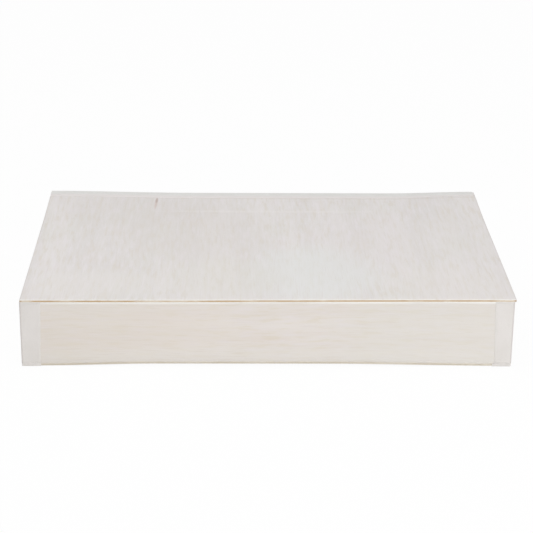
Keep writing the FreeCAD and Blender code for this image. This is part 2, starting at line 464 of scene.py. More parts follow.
@dataclass(frozen=True)
class Grain:
    """A pattern along the grain: how long and how wide one mark is, and its shift."""

    length: float
    width: float
    shift: float

    def draw(self, paint: Paint, place: list[Value], seed: float) -> Value:
        """Add the pattern to a material.

        Args:
            paint: The material.
            place: The places along, across and through the board.
            seed: The board's own shift.

        Returns:
            A value from 0 to 1.
        """
        ahead = place[0] / self.length + (self.shift + seed)
        return paint.noise(ahead, place[1] / self.width, place[2] / self.width, 2.0, 0.55)


@dataclass(frozen=True)
class Mark:
    """A soft oval mark in a veneer's face: a pin knot, a bleached or browner patch, or a band of painted highlight or
    painted light.
    """

    along: float
    across: float
    length: float
    width: float
    colour: Colour
    strength: float
    slant: float = 0.0
    ragged: float = 0.9
    fade: Pair = (0.1, 1.15)

    def mask(self, along: Value, across: Value, noise: Value) -> Value:
        """How strong the mark is at a place.

        Args:
            along: The place along the grain.
            across: The place across the grain.
            noise: Makes the mark's outline uneven.

        Returns:
            The mark's strength, and zero outside it.
        """
        ahead = along - self.along
        far = ahead / (self.length / 2)
        side = (across - self.across - ahead * self.slant) / (self.width / 2)
        reach = far * far + side * side + (noise - 0.5) * self.ragged
        return (1 - reach.smooth(*self.fade)) * self.strength


@dataclass(frozen=True)
class VeneerFinish:
    """Pale sanded veneer: bands, streaks, flecks, fibres and pores along the grain, with its cut edges painted paler
    or darker, partly as wear and partly as painted highlight and painted shade.
    """

    name: str
    lay: Lay
    low: Vector
    high: Vector
    seed: float
    turned: float = 0.0
    pale: Colour = tone(227, 223, 221)
    plain: Colour = tone(222, 218, 216)
    warm: Colour = tone(217, 207, 197)
    cool: Colour = tone(215, 210, 212)
    green: Colour = tone(220, 219, 212)
    dark: Colour = tone(201, 191, 181)
    blush: Colour = tone(225, 217, 215)
    # Cut-edge colours: worn pale wood, brightened as a painted highlight on the lit rims; some boards swap in darker
    # painted shade.
    end: Colour = tone(239, 238, 233)
    side: Colour = tone(249, 249, 245)
    straw: Colour = tone(217, 210, 200)
    milk: Colour = tone(231, 226, 228)
    figure: Grain = Grain(0.30, 0.028, 1.7)
    streak: Grain = Grain(0.055, 0.0030, 4.1)
    second_streak: Grain = Grain(0.055, 0.0030, 17.3)
    fibre: Grain = Grain(0.018, 0.0009, 8.9)
    pore: Grain = Grain(0.006, 0.00030, 2.3)
    fleck: Grain = Grain(0.017, 0.0028, 12.6)
    mottle: Triple = (45.0, 60.0, 5.0)
    flush: Triple = (32.0, 75.0, 3.0)
    cloud: Triple = (11.0, 17.0, 7.0)
    wander: Triple = (5.0, 14.0, 9.0)
    wander_reach: float = 0.010
    face_shift: float = 0.37
    pore_range: Pair = (0.62, 0.74)
    pore_strength: float = 0.14
    # The streaky band at the cut edges: partly wear, partly painted highlight and painted shade.
    worn_range: Pair = (0.2, 0.6)
    worn_strength: float = 0.85
    wear: float = 1.2 * MM
    matt: float = 0.60
    relief: float = 0.05 * MM
    shine: float = 0.32
    marks: tuple[Mark, ...] = ()

    def _patches(self, paint: Paint, spot: list[Value], rates: Triple, shift: float, detail: float) -> Value:
        """Add soft patches.

        Args:
            paint: The material.
            spot: The places along, across and through the board.
            rates: How often they change along and across the grain, and their step between the faces.
            shift: Moves the pattern.
            detail: How many finer layers are added.

        Returns:
            A value from 0 to 1.
        """
        along, across, turn = rates
        return paint.noise(spot[0] * along, spot[1] * across, self.turned * turn + shift, detail)

    def _edge(self, spot: Value, axis: Axis) -> Value:
        """One at the board's two edges along an axis, zero further in than the edge band's reach."""
        inside = spot.inset(self.low[axis.value], self.high[axis.value])
        return 1 - inside.smooth(0.0, self.wear)

    def dress(self) -> bpy.types.Material:
        """Make the material.

        Returns:
            The finished material.
        """
        paint = Paint.material(self.name)
        axes = paint.axes()
        spot = [axes[axis.value] for axis in self.lay.value]
        along, across, turn = self.wander
        drift = paint.noise(spot[0] * along + self.seed, spot[1] * across, self.turned * turn, 1.0) - 0.5
        place = [spot[0] + self.turned * self.face_shift, spot[1] + drift * self.wander_reach, spot[2]]
        grains = (self.figure, self.streak, self.second_streak, self.fibre, self.fleck, self.pore)
        drawn = [grain.draw(paint, place, self.seed) for grain in grains]
        figure, streak, second, fibre, fleck, dots = drawn
        pore = dots.smooth(*self.pore_range)
        mottle = self._patches(paint, spot, self.mottle, self.seed, 2.0)
        flush = self._patches(paint, spot, self.flush, self.seed * 2, 2.0)
        cloud = self._patches(paint, spot, self.cloud, self.seed, 3.0)
        colour = paint.layered(
            self.pale,
            Wash(figure, 0.34, 0.66, 1.0, self.plain),
            Wash(cloud, 0.48, 0.68, 0.32, self.green),
            Wash(flush, 0.50, 0.66, 0.20, self.blush),
            Wash(streak, 0.48, 0.74, 0.16, self.warm),
            Wash(second, 0.50, 0.74, 0.18, self.cool),
            Wash(mottle, 0.48, 0.75, 0.25, self.pale),
            Wash(fleck, 0.51, 0.70, 0.5, self.straw),
            Wash(1 - fleck, 0.51, 0.70, 0.5, self.milk),
        )
        uneven = cloud * 0.5 + fibre * 0.5
        for mark in self.marks:
            colour = paint.mix(mark.mask(spot[0], spot[1], uneven), colour, mark.colour)
        colour = paint.layered(colour, Wash(fibre, 0.52, 0.78, 0.18, self.dark))
        colour = paint.mix(pore * self.pore_strength, colour, self.dark)
        # Paint the cut edges: partly rubbed wear, partly painted highlight on lit rims and painted shade on shaded
        # ones.
        edge_wear_and_light = streak.smooth(*self.worn_range) * self.worn_strength
        colour = paint.mix(self._edge(spot[1], self.lay.across) * edge_wear_and_light, colour, self.side)
        colour = paint.mix(self._edge(spot[0], self.lay.along) * edge_wear_and_light, colour, self.end)
        roughness = self.matt + (fibre - 0.5) * 0.25 + pore * 0.1
        height = fibre * 0.5 + (1 - pore) * 0.35 + streak * 0.15
        return paint.surface(colour, roughness, height, self.relief, {"Specular IOR Level": self.shine})


@dataclass(frozen=True)
class CoreFinish:
    """Raw tan wood at the boards' cut edges, long grain and end grain.

    A pattern's three sizes go across the grain, along it and through the board.
    """

    name: str
    lay: Lay
    low: Vector
    high: Vector
    half: float
    seed: float
    plain: Colour = tone(198, 171, 137)
    pale: Colour = tone(220, 208, 190)
    dark: Colour = tone(170, 137, 100)
    glued: Colour = tone(232, 226, 214)
    glue_share: float = 0.65
    tan_at: float = 0.0
    fade: float = 0.0
    band: Triple = (0.024, 0.024, 0.004)
    fibre: Triple = (0.012, 0.00035, 0.00018)
    pore: Triple = (0.0025, 0.0002, 0.0002)
    pore_range: Pair = (0.60, 0.72)
    pore_strength: float = 0.4
    # Painted shade: the edge darkens towards its two ends, at the gaps by the corners.
    bruise: Pair = (0.6 * MM, 2.2 * MM)
    bruise_strength: float = 0.7
    matt: float = 0.78
    relief: float = 0.06 * MM
    shine: float = 0.2

    def dress(self) -> bpy.types.Material:
        """Make the material.

        Returns:
            The finished material.
        """
        paint = Paint.material(self.name)
        axes = paint.axes()
        along, across, through = (axes[axis.value] for axis in self.lay.value)
        wide, long, deep = self.band
        band = paint.noise(across / wide + self.seed, along / long, through / deep, 3.0, 0.6)
        wide, long, deep = self.fibre
        fibre = paint.noise(across / wide, along / long + self.seed, through / deep, 2.0)
        wide, long, deep = self.pore
        pore = paint.noise(across / wide, along / long, through / deep + self.seed, 1.0)
        dots = pore.smooth(*self.pore_range)
        way = self.lay.across.value
        # Painted shade, darker towards both ends of the edge.
        end_shade = 1 - across.inset(self.low[way], self.high[way]).smooth(*self.bruise)
        faded = band + abs(across - self.tan_at) * self.fade
        colour = paint.layered(
            self.plain,
            Wash(faded, 0.45, 0.64, 1.0, self.pale),
            Wash(fibre, 0.45, 0.75, 0.4, self.dark),
        )
        colour = paint.mix(dots * self.pore_strength, colour, self.dark)
        colour = paint.mix(end_shade * self.bruise_strength, colour, self.dark)
        if self.glue_share:
            way = self.lay.through.value
            from_glue = abs(through - (self.low[way] + self.high[way]) / 2) / self.half
            colour = paint.layered(colour, Wash(from_glue, 0.60, 1.0, self.glue_share, self.glued))
        roughness = self.matt + (fibre - 0.5) * 0.2
        height = fibre * 0.6 + (1 - dots) * 0.4
        return paint.surface(colour, roughness, height, self.relief, {"Specular IOR Level": self.shine})


@dataclass(frozen=True)
class ClothFinish:
    """Off-white plain weave, which follows each strip's own flat layout."""

    name: str
    thread: float = 0.42 * MM
    pale: Colour = tone(230, 226, 223)
    plain: Colour = tone(225, 221, 217)
    gap: Colour = tone(198, 191, 184)
    # Painted shade for the corner fold, where the cloth turns away from the light.
    handled: Colour = tone(198, 191, 188)
    stained: Colour = tone(231, 226, 224)
    warp_slub: float = 0.009
    weft_slub: float = 0.011
    slub_pull: float = 0.7
    cloud: Pair = (0.012, 0.016)
    fuzz: float = 0.0008
    fold: Pair = (0.3 * MM, 1.5 * MM)
    fold_wear: float = 0.0
    stain: Pair | None = None
    matt: float = 0.86
    relief: float = 0.10 * MM

    def dress(self) -> bpy.types.Material:
        """Make the material.

        Returns:
            The finished material.
        """
        paint = Paint.material(self.name)
        flat = paint.node("ShaderNodeUVMap", {"uv_map": Workpiece.FLAT})
        across, along, _ = paint.parts(flat)
        slub_warp = paint.noise(across / self.thread, along / self.warp_slub, 3.0, 1.0) - 0.5
        slub_weft = paint.noise(across / self.weft_slub, along / self.thread, 8.0, 1.0) - 0.5
        turn = math.pi / self.thread
        warp = across * turn + slub_warp * self.slub_pull
        weft = along * turn + slub_weft * self.slub_pull
        over = (warp.sine() * weft.sine()) * 0.5 + 0.5
        warp_round = abs((warp + math.pi / 2).sine())
        weft_round = abs((weft + math.pi / 2).sine())
        weave = over * warp_round + (1 - over) * weft_round
        cloudy = paint.noise(across / self.cloud[0], along / self.cloud[1], 1.0, 3.0)
        fuzz = paint.noise(across / self.fuzz, along / self.fuzz, 5.0, 2.0)
        colour = paint.layered(
            self.plain,
            Wash(cloudy, 0.35, 0.65, 0.7, self.pale),
            Wash(1 - weave, 0.35, 1.0, 0.45, self.gap),
            Wash(slub_warp, 0.05, 0.3, 0.3, self.pale),
            Wash(slub_weft, 0.05, 0.3, 0.3, self.plain),
        )
        # Painted shade: darker along the corner fold, where the cloth turns away from the light.
        if self.fold_wear:
            near_fold = 1 - abs(across).smooth(*self.fold)
            colour = paint.mix(near_fold * (cloudy + 0.3) * self.fold_wear, colour, self.handled)
        if self.stain:
            colour = paint.mix(along.smooth(*self.stain), colour, self.stained)
        roughness = self.matt + (fuzz - 0.5) * 0.16
        height = weave * 0.75 + fuzz * 0.25
        fixed = {"Specular IOR Level": 0.2, "Sheen Weight": 0.12, "Sheen Roughness": 0.5}
        return paint.surface(colour, roughness, height, self.relief, fixed)


def clear_selection() -> None:
    """Leave object mode and deselect everything."""
    if bpy.context.object and bpy.context.object.mode != "OBJECT":
        bpy.ops.object.mode_set(mode="OBJECT")
    bpy.ops.object.select_all(action="DESELECT")


def runs_along(edge: Edge, axis: Axis) -> bool:
    """Whether an edge runs along an axis."""
    way = edge.verts[1].co - edge.verts[0].co
    return way.length > 0 and abs(way[axis.value]) > IN_LINE * way.length


def middle(edge: Edge) -> Vector:
    """The middle of an edge."""
    return (edge.verts[0].co + edge.verts[1].co) / 2


def leans_along(edge: Edge, axis: Axis) -> bool:
    """Whether an edge runs about along an axis."""
    way = edge.verts[1].co - edge.verts[0].co
    return abs(way[axis.value]) > NEARLY * edge.calc_length()


def close(first: float, second: float, slack: float = SAME_PLACE) -> bool:
    """Whether two lengths are the same."""
    return abs(first - second) < slack


def edge_at(axis: Axis, **places: float) -> Test:
    """Make a test for edges that run along an axis.

    Args:
        axis: The way that the edges run.
        places: The x, y or z of their middles.

    Returns:
        The test.
    """

    def wanted(edge: Edge) -> bool:
        """Whether an edge runs that way at those places."""
        spot = middle(edge)
        there = all(close(getattr(spot, way), place) for way, place in places.items())
        return there and runs_along(edge, axis)

    return wanted


def steps_between(start: float, stop: float, count: int) -> list[float]:
    """Places at even steps from start to stop, both included."""
    return [start + (stop - start) * step / count for step in range(count + 1)]


def smooth_step(value: float, start: float, stop: float) -> float:
    """Rise smoothly from zero at start to one at stop."""
    step = min(1.0, max(0.0, (value - start) / (stop - start)))
    return step * step * (3 - 2 * step)


@dataclass(frozen=True)
class Bow:
    """A slow bend at an edge or a corner of the box, shared by the boards and cloth that meet there.

    Each pair of places says where the bend begins and where it is full.
    """

    rise: float
    width: tuple[Pair, ...]
    depth: Pair
    height: Pair

    def share(self, place: Vector) -> float:
        """How much of the rise a place takes, from 0 to 1."""
        share = smooth_step(place.y, *self.depth) * smooth_step(place.z, *self.height)
        for span in self.width:
            share *= smooth_step(place.x, *span)
        return share


class Workpiece:
    """A mesh on the bench, started from a primitive and shaped in edit mode."""

    FLAT = "flat_layout"
    FREE = "free_part"
    FULL = "full_thickness"
    STRAIGHT = "straight_place"
    LONG_ENOUGH = 1.5
    CUT_ANGLE = math.radians(55)
    CUT_SOFTNESS = 0.3
    SHARP_ANGLE = math.radians(40)

    def __init__(self, obj: bpy.types.Object) -> None:
        """Keep the object."""
        self.obj = obj

    @classmethod
    def _placed(cls, name: str, scale: Vector) -> "Workpiece":
        """Name the new primitive, and put its size and place in its mesh."""
        obj = bpy.context.active_object
        obj.name = name
        obj.data.name = name
        obj.scale = scale
        bpy.ops.object.transform_apply(location=True, rotation=True, scale=True)
        return cls(obj)

    @classmethod
    def block(cls, name: str, low: Vector, high: Vector) -> "Workpiece":
        """Start from a block.

        Args:
            name: The piece's name.
            low: Its lowest corner.
            high: Its highest corner.

        Returns:
            The workpiece.
        """
        clear_selection()
        bpy.ops.mesh.primitive_cube_add(size=1, location=(low + high) / 2)
        return cls._placed(name, high - low)

    @classmethod
    def sheet(cls, name: str, low: Vector, high: Vector) -> "Workpiece":
        """Start from a flat sheet, thin along the axis where both corners agree.

        Args:
            name: The piece's name.
            low: Its lowest corner.
            high: Its highest corner.

        Returns:
            The workpiece.
        """
        clear_selection()
        size = high - low
        thin = Axis(min(range(3), key=lambda way: size[way]))
        quarter = math.pi / 2
        turns = {Axis.WIDTH: (0, quarter, 0), Axis.DEPTH: (quarter, 0, 0), Axis.HEIGHT: (0, 0, 0)}
        spans = {
            Axis.WIDTH: (size.z, size.y, 1),
            Axis.DEPTH: (size.x, size.z, 1),
            Axis.HEIGHT: (size.x, size.y, 1),
        }
        bpy.ops.mesh.primitive_plane_add(size=1, location=(low + high) / 2, rotation=turns[thin])
        return cls._placed(name, Vector(spans[thin]))

    def take_up(self) -> None:
        """Make this piece the only one in hand."""
        clear_selection()
        self.obj.select_set(True)
        bpy.context.view_layer.objects.active = self.obj

    @contextmanager
    def edit(self) -> Iterator[None]:
        """Work on this piece alone in edit mode."""
        self.take_up()
        bpy.ops.object.mode_set(mode="EDIT")
        yield
        bpy.ops.object.mode_set(mode="OBJECT")

    def pick(self, kind: Pick, test: Test) -> int:
        """Select the parts that a test accepts.

        Args:
            kind: Corners or edges.
            test: Says whether a part is wanted.

        Returns:
            How many were selected.
        """
        bpy.ops.mesh.select_mode(type=kind.name)
        bpy.ops.mesh.select_all(action="DESELECT")
        mesh = bmesh.from_edit_mesh(self.obj.data)
        mesh.normal_update()
        wanted = [part for part in getattr(mesh, kind.value) if test(part)]
        for part in wanted:
            part.select_set(True)
        bmesh.update_edit_mesh(self.obj.data)
        return len(wanted)

    def divide(self, axis: Axis, spacing: float) -> None:
        """Divide the long edges that run along an axis.

        Args:
            axis: The way that the edges run.
            spacing: About how far apart the cuts are.
        """
        lengths: list[float] = []

        def wanted(edge: Edge) -> bool:
            """Whether the edge is long and along the axis."""
            length = edge.calc_length()
            if runs_along(edge, axis) and length > self.LONG_ENOUGH * spacing:
                lengths.append(length)
                return True
            return False

        with self.edit():
            if self.pick(Pick.EDGE, wanted):
                cuts = max(1, round(max(lengths) / spacing) - 1)
                bpy.ops.mesh.subdivide(number_cuts=cuts)

    def cut_at(self, axis: Axis, places: list[float]) -> None:
        """Cut rings of edges square to an axis.

        Args:
            axis: The way that the cuts are counted along.
            places: Where the cuts are.
        """
        normal = Vector((0, 0, 0))
        normal[axis.value] = 1
        with self.edit():
            for place in places:
                bpy.ops.mesh.select_all(action="SELECT")
                bpy.ops.mesh.bisect(plane_co=normal * place, plane_no=normal)

    def draw_out(self, test: Test, offset: Vector) -> None:
        """Draw edges out into new faces."""
        with self.edit():
            self.pick(Pick.EDGE, test)
            bpy.ops.mesh.extrude_region_move(TRANSFORM_OT_translate={"value": offset})

    def ease(self, test: Test, radius: float, segments: int) -> None:
        """Round edges off.

        Args:
            test: Says which edges.
            radius: How far the rounding reaches.
            segments: How many faces it has.
        """
        with self.edit():
            if self.pick(Pick.EDGE, test):
                bpy.ops.mesh.bevel(
                    offset_type="OFFSET",
                    offset=radius,
                    segments=segments,
                    profile=0.5,
                    affect="EDGES",
                    clamp_overlap=False,
                )

    def push(self, test: Test, offset: Vector) -> None:
        """Move corners by an offset."""
        with self.edit():
            if self.pick(Pick.VERT, test):
                bpy.ops.transform.translate(value=offset)

    def _finish_with(self, kind: str, **settings: Any) -> None:
        """Add a modifier and apply it."""
        self.take_up()
        modifier = self.obj.modifiers.new(kind.lower(), kind)
        for name, setting in settings.items():
            setattr(modifier, name, setting)
        bpy.ops.object.modifier_apply(modifier=modifier.name)

    def warp(
        self, way: str, size: float, depth: float, level: float, freedom: Callable[[Vector], float]
    ) -> None:
        """Bend the piece gently out of true.

        Args:
            way: The direction, X, Y, Z or NORMAL.
            size: How large the waves are.
            depth: How deep they are.
            level: The noise value that stays in place.
            freedom: How free the piece is at a place, from 0 to 1.
        """
        texture = bpy.data.textures.new(f"{self.obj.name}_waves", "CLOUDS")
        texture.noise_scale = size
        waves = {"texture": texture, "texture_coords": "LOCAL"}
        self._displace(freedom, direction=way, strength=depth, mid_level=level, **waves)

    def keep_places(self) -> None:
        """Note where each corner is, for the paint, before the piece is bowed."""
        places = self.obj.data.attributes.new(self.STRAIGHT, "FLOAT_VECTOR", "POINT")
        for corner in self.obj.data.vertices:
            places.data[corner.index].vector = corner.co

    def bend(self, bows: tuple[Bow, ...]) -> None:
        """Move the piece up as its bows say."""
        for bow in bows:
            self._displace(bow.share, direction="Z", strength=bow.rise, mid_level=0.0)

    def _displace(self, freedom: Callable[[Vector], float], **settings: Any) -> None:
        """Move the piece's surface, each place by its own share."""
        group = self.obj.vertex_groups.new(name=self.FREE)
        for corner in self.obj.data.vertices:
            group.add([corner.index], freedom(corner.co), "REPLACE")
        self._finish_with("DISPLACE", vertex_group=self.FREE, **settings)
        self.obj.vertex_groups.clear()

    def face_towards(self, outside: Vector) -> None:
        """Turn an open sheet's faces to the outside."""
        with self.edit():
            bpy.ops.mesh.select_all(action="SELECT")
            bpy.ops.mesh.normals_make_consistent(inside=False)
        total = Vector((0, 0, 0))
        for face in self.obj.data.polygons:
            total += face.normal * face.area
        if total.dot(outside) < 0:
            with self.edit():
                bpy.ops.mesh.select_all(action="SELECT")
                bpy.ops.mesh.flip_normals()

    def lay_flat(self, develop: Develop) -> None:
        """Give the sheet its flat layout, in metres, for the weave to follow.

        Args:
            develop: Turns a place and its face's normal into a place on the flat cut.
        """
        mesh = self.obj.data
        layer = mesh.uv_layers.active or mesh.uv_layers.new()
        layer.name = self.FLAT
        for face in mesh.polygons:
            for loop in face.loop_indices:
                place = mesh.vertices[mesh.loops[loop].vertex_index].co
                layer.data[loop].uv = develop(place, face.normal)

    def press_rim(self, pressed: Test, depth: float) -> None:
        """Press some of a sheet's cut edges down on what it is glued to.

        Args:
            pressed: Says which of the cut edges are pressed.
            depth: How far they go down.
        """

        def on_rim(edge: Edge) -> bool:
            """Whether an edge is one of the pressed cut edges."""
            return edge.is_boundary and pressed(edge)

        def meets_rim(edge: Edge) -> bool:
            """Whether an edge runs from a pressed cut edge into the sheet."""
            near = [other for corner in edge.verts for other in corner.link_edges]
            return not on_rim(edge) and any(on_rim(other) for other in near)

        with self.edit():
            self.pick(Pick.EDGE, meets_rim)
            bpy.ops.mesh.subdivide(number_cuts=1)
            self.pick(Pick.EDGE, on_rim)
            bpy.ops.transform.shrink_fatten(value=-depth)
        group = self.obj.vertex_groups.new(name=self.FULL)
        inside = [corner.index for corner in self.obj.data.vertices if not corner.select]
        group.add(inside, 1.0, "REPLACE")

    def thicken(self, thickness: float, rim_share: float) -> None:
        """Give a sheet its thickness, inwards, and soften its cut edges.

        Args:
            thickness: The cloth's thickness.
            rim_share: How much of it is left at the pressed rim.
        """
        self._finish_with(
            "SOLIDIFY",
            thickness=thickness,
            offset=-1.0,
            use_even_offset=True,
            vertex_group=self.FULL,
            thickness_vertex_group=rim_share,
        )
        self.obj.vertex_groups.clear()
        self._finish_with(
            "BEVEL",
            width=thickness * rim_share * self.CUT_SOFTNESS,
            segments=2,
            limit_method="ANGLE",
            angle_limit=self.CUT_ANGLE,
            use_clamp_overlap=True,
        )

    def shade(self) -> None:
        """Shade smoothly, with sharp edges kept."""
        self.take_up()
        bpy.ops.object.shade_smooth_by_angle(angle=self.SHARP_ANGLE)

    def dress(self, material: bpy.types.Material, slot: Slot) -> None:
        """Give the piece its material and the record's slot."""
        self.obj.data.materials.clear()
        self.obj.data.materials.append(material)
        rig.slot(self.obj, slot.value)


@dataclass(frozen=True)
class Layer:
    """One layer of a board: its node, the way its face looks (0 for a core), and whether it has marks."""

    node: str
    shows: int
    marked: bool = False


@dataclass
class Board:
    """A board of a tan core between two pale veneers."""

    body: str
    lay: Lay
    layers: tuple[Layer, ...]
    seed: float
    corner_radius: float = 0.0
    rim_radius: float = 0.16 * MM
    corner_steps: int = 5
    rim_steps: int = 3
    spacing: float = 6.0 * MM
    sag: float = 0.30 * MM
    sag_level: float = 0.5
    sag_size: float = 0.11
    glued_share: float = 0.07
    free_share: float = 0.37
    seat: float = 0.0
    rear_play: float = 0.0
    slide: float = 0.0
    sound_foot: float = 0.0
    bows: tuple[Bow, ...] = ()
    marks: tuple[Mark, ...] = ()
    tones: dict[str, Any] = field(default_factory=dict)
    core_tones: dict[str, Any] = field(default_factory=dict)

    @cached_property
    def corners(self) -> tuple[Vector, Vector]:
        """The whole board's lowest and highest corner."""
        boxes = [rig.box(layer.node) for layer in self.layers]
        low = Vector(min(box[0][way] for box in boxes) for way in range(3))
        high = Vector(max(box[1][way] for box in boxes) for way in range(3))
        return low, high

    def build(self) -> list[Workpiece]:
        """Build and dress every layer.

        Returns:
            The board's pieces.
        """
        pieces: list[Workpiece] = []
        for layer in self.layers:
            piece = self._layer(layer)
            if layer.shows:
                piece.dress(self._veneer(layer), Slot.VENEER)
            else:
                piece.dress(self._core_edge(layer), Slot.CORE)
            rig.ride(piece.obj, self.body)
            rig.replaces(piece.obj, layer.node)
            pieces.append(piece)
        return pieces

    def _veneer(self, layer: Layer) -> bpy.types.Material:
        """The finish of one of the board's two faces."""
        marks = self.marks if layer.marked else ()
        turned = float(layer.shows > 0)
        low, high = self.corners
        # Drop the lower edge band below the foot, so the foot gets no painted edge highlight.
        low = low - Vector((0, 0, self.sound_foot))
        name = f"{layer.node}_face"
        return VeneerFinish(name, self.lay, low, high, self.seed, turned, marks=marks, **self.tones).dress()

    def _core_edge(self, layer: Layer) -> bpy.types.Material:
        """The finish of the raw edge between the faces."""
        low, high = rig.box(layer.node)
        half = (high - low)[self.lay.through.value] / 2
        name = f"{layer.node}_edge"
        return CoreFinish(name, self.lay, *self.corners, half, self.seed, **self.core_tones).dress()

    def _layer(self, layer: Layer) -> Workpiece:
        """Build one layer.

        Args:
            layer: The layer.

        Returns:
            Its workpiece.
        """
        low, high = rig.box(layer.node)
        through = self.lay.through.value
        low.z -= self.seat
        high.z += self.seat
        high.y -= self.rear_play
        piece = Workpiece.block(f"{layer.node}_layer", low, high)
        piece.divide(self.lay.along, self.spacing)
        piece.divide(self.lay.across, self.spacing)
        if self.corner_radius:
            piece.ease(lambda edge: self._at_corner(edge, low, high), self.corner_radius, self.corner_steps)
        if layer.shows:
            face = high[through] if layer.shows > 0 else low[through]
            piece.ease(lambda edge: self._on_rim(edge, face), self.rim_radius, self.rim_steps)
        self._detail(piece, layer, low, high)
        piece.warp("XYZ"[through], self.sag_size, self.sag, self.sag_level, self._freedom)
        piece.keep_places()
        piece.bend(self.bows)
        if self.slide:
            piece.push(lambda corner: True, Vector((self.slide, 0, 0)))
        piece.shade()
        return piece

    def _detail(self, piece: Workpiece, layer: Layer, low: Vector, high: Vector) -> None:
        """Add what only this board has."""

    def _at_corner(self, edge: Edge, low: Vector, high: Vector) -> bool:
        """Whether an edge goes through the board at one of its corners."""
        place = middle(edge)
        ways = (self.lay.along.value, self.lay.across.value)
        at_end = all(close(place[way], low[way]) or close(place[way], high[way]) for way in ways)
        return at_end and runs_along(edge, self.lay.through)

    def _on_rim(self, edge: Edge, face: float) -> bool:
        """Whether an edge lies between the showing face and a cut edge."""
        way = self.lay.through.value
        if not all(close(corner.co[way], face) for corner in edge.verts):
            return False
        level = [abs(side.normal[way]) > NEARLY for side in edge.link_faces]
        return any(level) and not all(level)

    def _freedom(self, place: Vector) -> float:
        """How free the board is to bend: not at its edges, where cloth is glued."""
        low, high = self.corners
        share = 1.0
        for axis in (self.lay.along, self.lay.across):
            way = axis.value
            span = high[way] - low[way]
            inset = min(place[way] - low[way], high[way] - place[way])
            share *= smooth_step(inset, self.glued_share * span, self.free_share * span)
        return share


@dataclass
class Lid(Board):
    """The lid board, with a chip in its front edge and a shallow crease across its top."""

    chip_at: float = -116.5 * MM
    chip_length: float = 6.0 * MM
    chip_depth: float = 0.45 * MM
    chip_cuts: tuple[float, ...] = (-1.0, -0.55, -0.1, 0.4, 1.0)
    chip_shares: Triple = (0.7, 1.0, 0.5)
    crease_at: float = 66.8 * MM
    crease_width: float = 7.0 * MM
    crease_depth: float = 0.12 * MM
    crease_slack: float = 0.15 * MM
    crease_ends: Pair = (-92.0 * MM, 104.0 * MM)
    crease_fades: Triple = (0.0, 0.1, 0.2)

    def _detail(self, piece: Workpiece, layer: Layer, low: Vector, high: Vector) -> None:
        """Chip the top veneer's front edge and crease its face.

        Args:
            piece: The layer's workpiece.
            layer: The layer.
            low: The layer's lowest corner.
            high: The layer's highest corner.
        """
        if layer.shows <= 0:
            return
        self._crease(piece, high.z)
        half = self.chip_length / 2
        places = [self.chip_at + half * share for share in self.chip_cuts]
        piece.cut_at(Axis.WIDTH, places)
        for place, depth in zip(places[1:-1], self.chip_shares):

            def at_chip(corner: Corner, place: float = place) -> bool:
                """Whether a corner of the front edge stands at this cut."""
                return close(corner.co.x, place) and corner.co.y < low.y + self.chip_depth

            piece.push(at_chip, Vector((0, self.chip_depth * depth, 0)))

    def _crease(self, piece: Workpiece, top: float) -> None:
        """Press a shallow crease into the top, fading out at both ends.

        Args:
            piece: The top veneer.
            top: The height of its face.
        """
        half = self.crease_width / 2
        shares = [step / 4 for step in range(-4, 5)]
        piece.cut_at(Axis.DEPTH, [self.crease_at + half * share for share in shares])
        start, stop = self.crease_ends
        places = {round(corner.co.y, 6) for corner in piece.obj.data.vertices}
        rows = [place for place in places if abs(place - self.crease_at) < half]
        for row in sorted(rows):
            turn = math.pi * (row - self.crease_at) / self.crease_width
            fall = self.crease_depth * math.cos(turn) ** 2 / len(self.crease_fades)
            for fade in self.crease_fades:
                inset = fade * (stop - start)

                def in_row(corner: Corner, row: float = row, inset: float = inset) -> bool:
                    """Whether a corner of the face lies in this row."""
                    across = start + inset < corner.co.x < stop - inset
                    on_face = close(corner.co.z, top, self.crease_slack)
                    return across and on_face and close(corner.co.y, row)

                piece.push(in_row, Vector((0, 0, -fall)))


@dataclass
class Strip:
    """A strip of glued cloth: where it is, what it stands for and how it bends."""

    name: str
    node: str
    finish: bpy.types.Material
    thickness: float = 0.30 * MM
    bend_radius: float = 0.50 * MM
    bend_steps: int = 6
    spacing: float = 2.4 * MM
    rim_share: float = 0.35
    ripple_size: float = 5 * MM
    ripple_depth: float = 0.05 * MM
    bows: tuple[Bow, ...] = ()

    def close_up(self, piece: Workpiece, outside: Vector, develop: Develop, pressed: Test) -> Workpiece:
        """Turn, lay out, ripple, press, thicken and bow a shaped sheet.

        Args:
            piece: The shaped sheet.
            outside: The way its showing face looks.
            develop: Its flat layout.
            pressed: Says which of its cut edges are pressed down.

        Returns:
            The same workpiece.
        """
        piece.face_towards(outside)
        piece.lay_flat(develop)
        piece.warp("NORMAL", self.ripple_size, self.ripple_depth, 0.5, lambda place: 1.0)
        piece.press_rim(pressed, self.thickness * (1 - self.rim_share))
        piece.thicken(self.thickness, self.rim_share)
        piece.bend(self.bows)
        piece.shade()
        piece.dress(self.finish, Slot.CLOTH)
        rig.replaces(piece.obj, self.node)
        return piece


